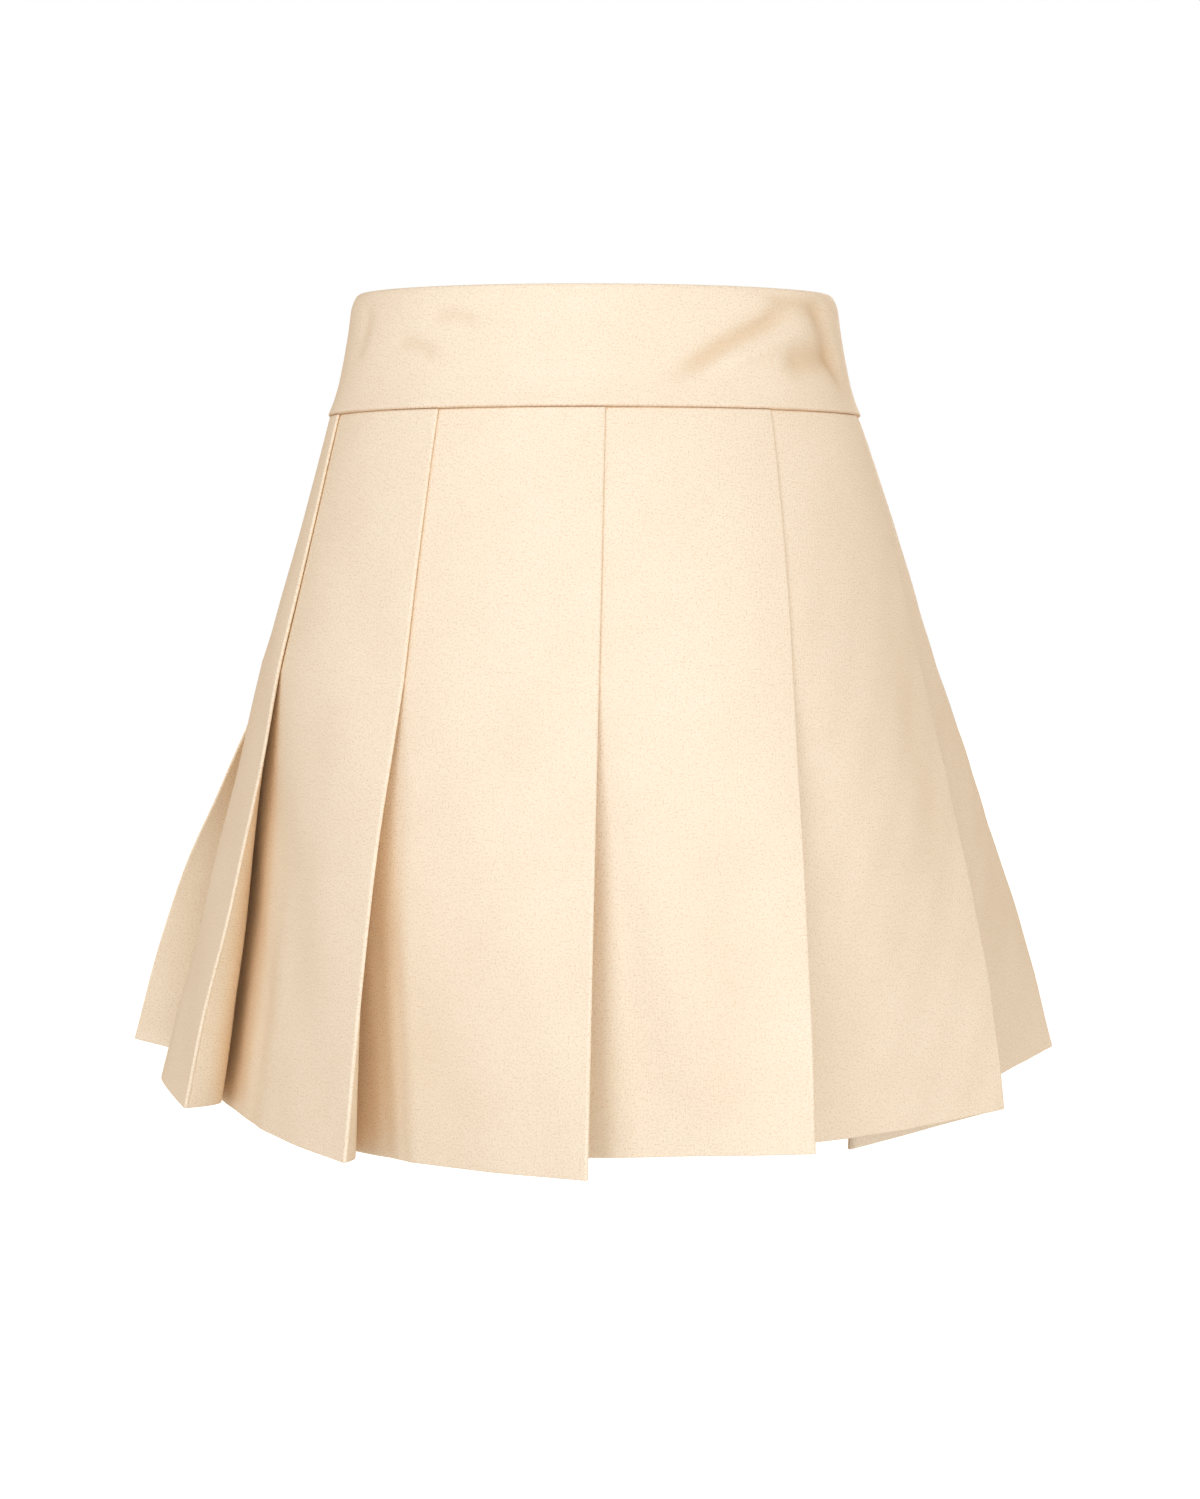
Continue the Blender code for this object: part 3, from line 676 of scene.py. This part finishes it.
def table_at(table, drops):
    """Columns of a table, eased between its rows."""
    table = np.array(table, float)
    x = table[:, 0]
    result = [drops / MM]
    for column in table.T[1:]:
        slope = np.gradient(column, x)
        k = np.clip(np.searchsorted(x, drops / MM, side="right") - 1, 0, len(x) - 2)
        span = x[k + 1] - x[k]
        t = (drops / MM - x[k]) / span
        value = (2 * t**3 - 3 * t**2 + 1) * column[k] + (t**3 - 2 * t**2 + t) * span * slope[k]
        value += (3 * t**2 - 2 * t**3) * column[k + 1] + (t**3 - t**2) * span * slope[k + 1]
        result.append(value)
    return result


def shorts_grid(back):
    """Middle of the cloth on the wearer's left, from the centre seam to the side seam."""
    top_rows, foot_rows = [61.5, 61.7, 62.1], [334.4, 334.8, 335.0]
    drops = np.concatenate([top_rows, np.linspace(63, 333.8, 78), foot_rows]) * MM
    leg_rows = [(hip[0],) + leg for hip, leg in zip(SHORTS_HIP, SHORTS_LEG)]
    _, hip_width, hip_front, hip_back = table_at(SHORTS_HIP, drops)
    _, centre, leg_width, leg_front, leg_back, leg_share = table_at(leg_rows, drops)
    leg_share = np.clip(leg_share, 0, 1)
    leg_share[drops >= LEGS_APART_DROP] = 1.0
    grid = []
    share = np.linspace(0, 1, 56)
    for i, drop in enumerate(drops):
        hip_depth = hip_back[i] if back else -hip_front[i]
        leg_depth = leg_back[i] if back else -leg_front[i]
        turn = math.pi / 2 * share
        hip = np.stack([hip_width[i] * np.sin(turn), hip_depth * np.cos(turn)], axis=1)
        turn = math.pi * (1 - share)
        leg_x = centre[i] + leg_width[i] * np.cos(turn)
        leg = np.stack([leg_x, leg_depth * np.sin(turn)], axis=1)
        flat = (hip * (1 - leg_share[i]) + leg * leg_share[i]) * MM
        low = np.full(len(share), -drop)
        if 0 < leg_share[i] < 1 and drop < CROTCH_DROP:
            low -= (CROTCH_DROP - drop) * math.sin(math.pi / 2 * leg_share[i]) * (1 - share) ** 2
        grid.append(np.column_stack([flat, low]))
    grid = np.array(grid)
    for end, step in ((0, 1), (-1, -2)):
        along = grid[:, step] - grid[:, end]
        grid[:, end] += along / np.linalg.norm(along, axis=1, keepdims=True) * SHORTS_GAP
    return grid


def make_shorts(material):
    """The two fronts and the two backs of the inner shorts."""
    for back in (False, True):
        base = shorts_grid(back)
        for side in ("left", "right"):
            grid = base if side == "left" else base * np.array([-1.0, 1.0, 1.0])
            if back == (side == "left"):
                grid = grid[:, ::-1]
            x, y, z = grid[..., 0], grid[..., 1], grid[..., 2]
            crease = 0.5 * np.sin(2 * np.pi * (x * 9 + z * 21) + (1.7 if back else 0.3))
            crease += 0.4 * np.sin(2 * np.pi * (y * 12 - z * 13) + (0.5 if side == "left" else 2.5))
            inside = smooth((-z - 0.07) / 0.04) * smooth((0.33 + z) / 0.03)
            lengths = cloth_lengths(grid)
            edge = from_sides(lengths[0])
            crease = crease * inside * smooth(edge / SHORTS_CALM) * SHORTS_CREASE
            grid = grid + grid_normals(grid) * crease[..., None]
            normal = grid_normals(grid)
            down = lengths[1]
            to_hem = down[-1] - down
            rim = edge_round(np.minimum(down, to_hem), CLOTH / 2) * edge_round(edge, CLOTH / 2)
            front = CLOTH / 2 * rim
            inner = front + smooth((SHORTS_HEM - to_hem) / HEM_STEP) * SHORTS_HEM_EXTRA * rim
            place = ("back_" if back else "front_") + side
            piece = wall("inner_" + place, grid, normal, front, inner, *lengths, material)
            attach(piece, "skort")
            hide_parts("shorts_" + place)


# ------------------------------------------------------------------ zip


def tape_place(x, drop):
    """Points of the tape at this distance from its middle and this drop."""
    table = np.array(TAPE_ROWS) * MM
    knots = np.linspace(table[0, 0], table[-1, 0], 200)
    middle = eased(np.interp(knots, table[:, 0], table[:, 1]), 17)
    above = np.maximum(table[0, 0] - drop, 0)
    behind = np.interp(drop, knots, middle) - above * TAPE_TOP_SLOPE
    return np.stack([x, behind * np.sqrt(1 - (x / TAPE_BEND) ** 2), -drop + 0 * x], axis=-1)


def make_tape(material):
    """The zip tape, whose two halves run up beside the slider, and its coil."""
    outer = np.linspace(TAPE_HALF_WIDTH, 4 * MM, 9)
    x = np.concatenate([outer, np.linspace(3.5 * MM, -3.5 * MM, 8), -outer[::-1]])
    top = np.where(np.abs(x) < TAPE_NOTCH_HALF_WIDTH, TAPE_NOTCH, TAPE_TOP)
    shares = np.linspace(0, 1, TAPE_ROW_COUNT)
    grid = np.array([tape_place(x, top + (TAPE_END - top) * t) for t in shares])
    normal = grid_normals(grid)
    lengths = cloth_lengths(grid)
    half = TAPE_CLOTH / 2 * edge_round(from_sides(lengths[0]), TAPE_CLOTH / 2)
    tape = wall("zip_tape_cloth", grid, normal, half, half, *lengths, material)
    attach(tape, "skort")
    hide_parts("zip_tape")

    shape = bmesh.new()
    for i in range(int(COIL_LENGTH / COIL_PITCH)):
        for side in (-1, 1):
            # The turns of one side lie between those of the other
            drop = COIL_TOP + i * COIL_PITCH + (0.5 * COIL_PITCH if side > 0 else 0.0)
            at = tape_place(np.array([side * COIL_ASIDE]), np.array([drop]))[0]
            matrix = Matrix.Translation((at[0], at[1] - COIL_INSIDE, at[2]))
            matrix = matrix @ Matrix.Diagonal((*COIL_TURN, 1.0))
            bmesh.ops.create_icosphere(shape, subdivisions=1, radius=1.0, matrix=matrix)
    mesh = bpy.data.meshes.new("zip_coil")
    shape.to_mesh(mesh)
    shape.free()
    mesh.shade_smooth()
    mesh.materials.append(material)
    coil = bpy.data.objects.new("zip_coil", mesh)
    bpy.context.scene.collection.objects.link(coil)
    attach(coil, "skort")


# ------------------------------------------------------------------ materials


def new_material(name):
    """A material with its node tree and its shader."""
    material = bpy.data.materials.new(name)
    material.use_nodes = True
    tree = material.node_tree
    return material, tree, tree.nodes["Principled BSDF"]


def math_node(tree, operation, a, b=None, c=None, clamp=False):
    node = tree.nodes.new("ShaderNodeMath")
    node.operation = operation
    node.use_clamp = clamp
    for socket, value in zip(node.inputs, (a, b, c)):
        if value is None:
            continue
        if isinstance(value, (int, float)):
            socket.default_value = value
        else:
            tree.links.new(value, socket)
    return node.outputs[0]


def plus(tree, a, b):
    return math_node(tree, "ADD", a, b)


def times(tree, a, b, clamp=False):
    return math_node(tree, "MULTIPLY", a, b, clamp=clamp)


def noise(tree, vector, scale, detail=2.0, rough=0.5):
    node = tree.nodes.new("ShaderNodeTexNoise")
    node.inputs["Scale"].default_value = scale
    node.inputs["Detail"].default_value = detail
    node.inputs["Roughness"].default_value = rough
    tree.links.new(vector, node.inputs["Vector"])
    return node.outputs["Fac"]


def stretched(tree, vector, x, y):
    """The vector scaled by x and y."""
    node = tree.nodes.new("ShaderNodeMapping")
    node.inputs["Scale"].default_value = (x, y, 1.0)
    tree.links.new(vector, node.inputs["Vector"])
    return node.outputs[0]


def mix_colour(tree, factor, a, b):
    node = tree.nodes.new("ShaderNodeMix")
    node.data_type = "RGBA"
    for socket, value in ((node.inputs[0], factor), (node.inputs[6], a), (node.inputs[7], b)):
        if isinstance(value, tuple):
            socket.default_value = (*value, 1.0)
        elif isinstance(value, (int, float)):
            socket.default_value = value
        else:
            tree.links.new(value, socket)
    return node.outputs[2]


def ramp(tree, value, low, high):
    """A soft step from 0 at low to 1 at high."""
    node = tree.nodes.new("ShaderNodeMapRange")
    node.interpolation_type = "SMOOTHSTEP"
    node.inputs["From Min"].default_value = low
    node.inputs["From Max"].default_value = high
    tree.links.new(value, node.inputs["Value"])
    return node.outputs[0]


def attribute(tree, name):
    node = tree.nodes.new("ShaderNodeAttribute")
    node.attribute_name = name
    return node.outputs["Fac"]


def add_bump(tree, shader, height, strength, distance):
    bump = tree.nodes.new("ShaderNodeBump")
    bump.inputs["Strength"].default_value = strength
    bump.inputs["Distance"].default_value = distance
    tree.links.new(height, bump.inputs["Height"])
    tree.links.new(bump.outputs[0], shader.inputs["Normal"])


def cloth_material(name, face, fleck_share, roughness, sheen, weave_mm, metal):
    """Woven cloth: threads both ways, uneven colour, flecks, and painted shade in folds, creases
    and seam.
    """
    material, tree, shader = new_material(name)
    uv = tree.nodes.new("ShaderNodeUVMap")
    uv.uv_map = "cloth"
    place = uv.outputs[0]
    per = 1 / (weave_mm * MM)
    down = noise(tree, stretched(tree, place, per, per * THREAD_STRETCH), 1.0, 2.0)
    over = noise(tree, stretched(tree, place, per * THREAD_STRETCH, per), 1.0, 2.0)
    threads = plus(tree, times(tree, down, 0.5), times(tree, over, 0.5))
    grain = noise(tree, place, per * 0.8, 2.0, 0.6)
    cloudy = noise(tree, place, 28.0, 3.0)
    slub = ramp(tree, noise(tree, stretched(tree, place, 900.0, 60.0), 1.0, 1.0), 0.70, 0.80)

    # Painted shade: a deeper, warmer colour where other cloth is near, and a darker one in the
    # troughs of the creases
    hollow = tree.nodes.new("ShaderNodeAmbientOcclusion")
    hollow.inputs["Distance"].default_value = HOLLOW_REACH
    hollow.samples = 6
    painted_fold_shade = math_node(tree, "SUBTRACT", 1.0, ramp(tree, hollow.outputs["AO"], 0.05, 0.82))
    # painted shade: darker in the troughs of the creases
    painted_crease_shade = times(tree, attribute(tree, "crease"), -CREASE_SHADE_TONE, clamp=True)
    colour = mix_colour(tree, times(tree, painted_fold_shade, FOLD_SHADE_TONE), face, CREAM_FOLD_SHADE)
    colour = mix_colour(tree, painted_crease_shade, colour, FLECK_AND_SHADE_GOLD)

    # Painted shadow line along the waist seam, dotted like the puckers at its stitches
    split = tree.nodes.new("ShaderNodeSeparateXYZ")
    tree.links.new(place, split.inputs[0])
    wave = math_node(tree, "SINE", times(tree, split.outputs[0], 2 * math.pi / SEAM_DOT_PITCH))
    seam_shade_dots = math_node(tree, "MULTIPLY_ADD", wave, 0.10, 0.10)
    seam_shade_dots = plus(tree, seam_shade_dots, times(tree, noise(tree, place, 260.0, 2.0), 0.5))
    by_seam = math_node(tree, "SUBTRACT", 1.0, ramp(tree, attribute(tree, "seam"), 0.25, 1.1))
    colour = mix_colour(tree, times(tree, seam_shade_dots, by_seam), colour, SEAM_SHADE_BROWN)

    # Flecks, denser in the painted fold shade; pale threads, slow clouds and slubs
    flecked = ramp(tree, grain, 0.50, 0.68)
    # partly painted shade: the flecks grow denser where the fold shade is painted
    share = math_node(tree, "MULTIPLY_ADD", painted_fold_shade, fleck_share * 0.8, fleck_share)
    colour = mix_colour(tree, times(tree, flecked, share), colour, FLECK_AND_SHADE_GOLD)
    shade = ramp(tree, threads, 0.36, 0.64)
    pale = tuple(min(1.0, channel * 1.06) for channel in face)
    colour = mix_colour(tree, times(tree, shade, 0.16), colour, pale)
    clouds = times(tree, ramp(tree, cloudy, 0.3, 0.7), 0.06)
    colour = mix_colour(tree, clouds, colour, FLECK_AND_SHADE_GOLD)
    colour = mix_colour(tree, times(tree, slub, 0.22), colour, FLECK_AND_SHADE_GOLD)
    tree.links.new(colour, shader.inputs["Base Color"])

    rough = math_node(tree, "MULTIPLY_ADD", threads, 0.20, roughness - 0.10)
    tree.links.new(rough, shader.inputs["Roughness"])
    shine = math_node(tree, "MULTIPLY_ADD", flecked, metal * 0.8, metal * 0.6)
    tree.links.new(shine, shader.inputs["Metallic"])
    shader.inputs["Sheen Weight"].default_value = sheen
    shader.inputs["Sheen Roughness"].default_value = 0.35
    shader.inputs["Sheen Tint"].default_value = (*SHEEN_TINT, 1.0)
    add_bump(tree, shader, plus(tree, threads, times(tree, grain, 0.6)), 0.9, 0.45 * MM)
    return material


def metal_material():
    """Pale gold metal with a fine grain and worn places."""
    material, tree, shader = new_material("pale_gold_metal")
    coords = tree.nodes.new("ShaderNodeTexCoord")
    place = coords.outputs["Object"]
    fine = noise(tree, place, 2400.0, 3.0)
    worn = noise(tree, place, 260.0, 2.0)
    colour = mix_colour(tree, ramp(tree, worn, 0.35, 0.7), PALE_GOLD, WORN_GOLD)
    tree.links.new(colour, shader.inputs["Base Color"])
    rough = math_node(tree, "MULTIPLY_ADD", fine, 0.22, 0.16)
    tree.links.new(rough, shader.inputs["Roughness"])
    shader.inputs["Metallic"].default_value = 1.0
    add_bump(tree, shader, fine, 0.12, 0.05 * MM)
    return material


# ------------------------------------------------------------------ camera, light, floor

PHOTO_WIDTH_PX = 1200.0
PHOTO_HEIGHT_PX = 1499.0
SENSOR_MM = 36.0
EYE_DISTANCE = 1.5
EYE_AZIMUTH = -2.2
EYE_HEIGHT = -0.1395
FOCAL_PX = 2934.0
HORIZON_PX = 573.0  # row of the photo that is level with the eye
AXIS_PX = 595.0  # column of the photo with the skort's middle

COOL = (0.94, 1.0, 1.08)
WARM_SKY = (1.0, 0.82, 0.66)
SKY_STRENGTH = 0.56
WHITE = (1.0, 1.0, 1.0)
LIGHTS = [
    # (name, place, target, size, watts, colour)
    ("key", (-1.0, -2.1, 0.9), (0.0, 0.0, -0.2), (1.2, 1.2), 21.0, COOL),
    ("front", (0.3, -2.6, -0.7), (0.0, 0.0, -0.25), (1.4, 1.2), 24.0, COOL),
    ("right", (2.1, -1.5, 0.0), (0.0, 0.0, -0.22), (1.2, 1.6), 12.0, (1.0, 0.97, 0.92)),
    ("left", (-2.3, -0.9, -0.3), (0.0, 0.0, -0.25), (1.0, 1.4), 5.0, (1.0, 0.92, 0.84)),
    ("back", (0.6, 2.3, 0.6), (0.0, 0.0, -0.2), (1.3, 1.3), 20.0, COOL),
]
FLOOR_Z = -0.95
FLOOR_SIZE = 14.0


def make_camera():
    """The photo's view of the skort."""
    data = bpy.data.cameras.new("camera")
    data.sensor_fit = "VERTICAL"
    data.sensor_height = SENSOR_MM
    data.lens = SENSOR_MM * FOCAL_PX / PHOTO_HEIGHT_PX
    data.clip_start = 0.01
    camera = bpy.data.objects.new("camera", data)
    turn = math.radians(EYE_AZIMUTH)
    x, y = math.sin(turn) * EYE_DISTANCE, -math.cos(turn) * EYE_DISTANCE
    camera.location = (x, y, EYE_HEIGHT)
    tilt = math.atan((PHOTO_HEIGHT_PX / 2 - HORIZON_PX) / FOCAL_PX)
    aside = math.atan((PHOTO_WIDTH_PX / 2 - AXIS_PX) / FOCAL_PX)
    camera.rotation_euler = (math.pi / 2 - tilt, 0.0, turn - aside)
    bpy.context.scene.collection.objects.link(camera)
    bpy.context.scene.camera = camera


def area_light(name, place, target, size, watts, colour):
    data = bpy.data.lights.new(name, "AREA")
    data.shape = "RECTANGLE"
    data.size, data.size_y = size
    data.energy = watts
    data.color = colour
    light = bpy.data.objects.new(name, data)
    light.location = place
    aim = Vector(target) - Vector(place)
    light.rotation_euler = aim.to_track_quat("-Z", "Y").to_euler()
    bpy.context.scene.collection.objects.link(light)


def make_world():
    """A white backdrop that lights the skort with a warmer, weaker sky."""
    world = bpy.data.worlds.new("studio")
    world.use_nodes = True
    bpy.context.scene.world = world
    tree = world.node_tree
    background = tree.nodes["Background"]
    seen = tree.nodes.new("ShaderNodeLightPath")
    tint = mix_colour(tree, seen.outputs["Is Camera Ray"], WARM_SKY, WHITE)
    tree.links.new(tint, background.inputs["Color"])
    strength = tree.nodes.new("ShaderNodeMapRange")
    strength.inputs["To Min"].default_value = SKY_STRENGTH
    strength.inputs["To Max"].default_value = 1.0
    tree.links.new(seen.outputs["Is Camera Ray"], strength.inputs["Value"])
    tree.links.new(strength.outputs[0], background.inputs["Strength"])


def make_floor():
    """A white floor under the skort that neither tints it nor mirrors in it."""
    mesh = bpy.data.meshes.new("floor")
    shape = bmesh.new()
    bmesh.ops.create_grid(shape, x_segments=1, y_segments=1, size=FLOOR_SIZE)
    shape.to_mesh(mesh)
    shape.free()
    floor = bpy.data.objects.new("floor", mesh)
    floor.location = (0.0, 0.0, FLOOR_Z)
    material, _, shader = new_material("floor_white")
    shader.inputs["Base Color"].default_value = (0.9, 0.9, 0.9, 1.0)
    shader.inputs["Roughness"].default_value = 0.8
    shader.inputs["Emission Color"].default_value = (*WHITE, 1.0)
    shader.inputs["Emission Strength"].default_value = 0.9
    mesh.materials.append(material)
    floor.visible_diffuse = False
    floor.visible_glossy = False
    bpy.context.scene.collection.objects.link(floor)


def set_colours():
    """Plain display colours, without a film look."""
    view = bpy.context.scene.view_settings
    view.view_transform = "Standard"
    view.look = "None"
    view.exposure = 0.0
    view.gamma = 1.0


# ------------------------------------------------------------------ the scene

satin = cloth_material(
    "satin_cloth", CREAM, fleck_share=0.50, roughness=0.62, sheen=0.30, weave_mm=0.70, metal=0.10
)
plain = cloth_material(
    "plain_cloth", PLAIN, fleck_share=0.10, roughness=0.80, sheen=0.15, weave_mm=0.45, metal=0.0
)
woven = cloth_material(
    "tape_cloth", TAPE, fleck_share=0.15, roughness=0.75, sheen=0.10, weave_mm=0.80, metal=0.0
)
metal = metal_material()

make_camera()
make_world()
for light in LIGHTS:
    area_light(*light)
make_floor()
set_colours()
make_gores(satin)
make_waistband(satin)
make_shorts(plain)
make_tape(woven)
for node in ("zip_slider", "zip_pull"):
    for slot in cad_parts[node].material_slots:
        slot.material = metal
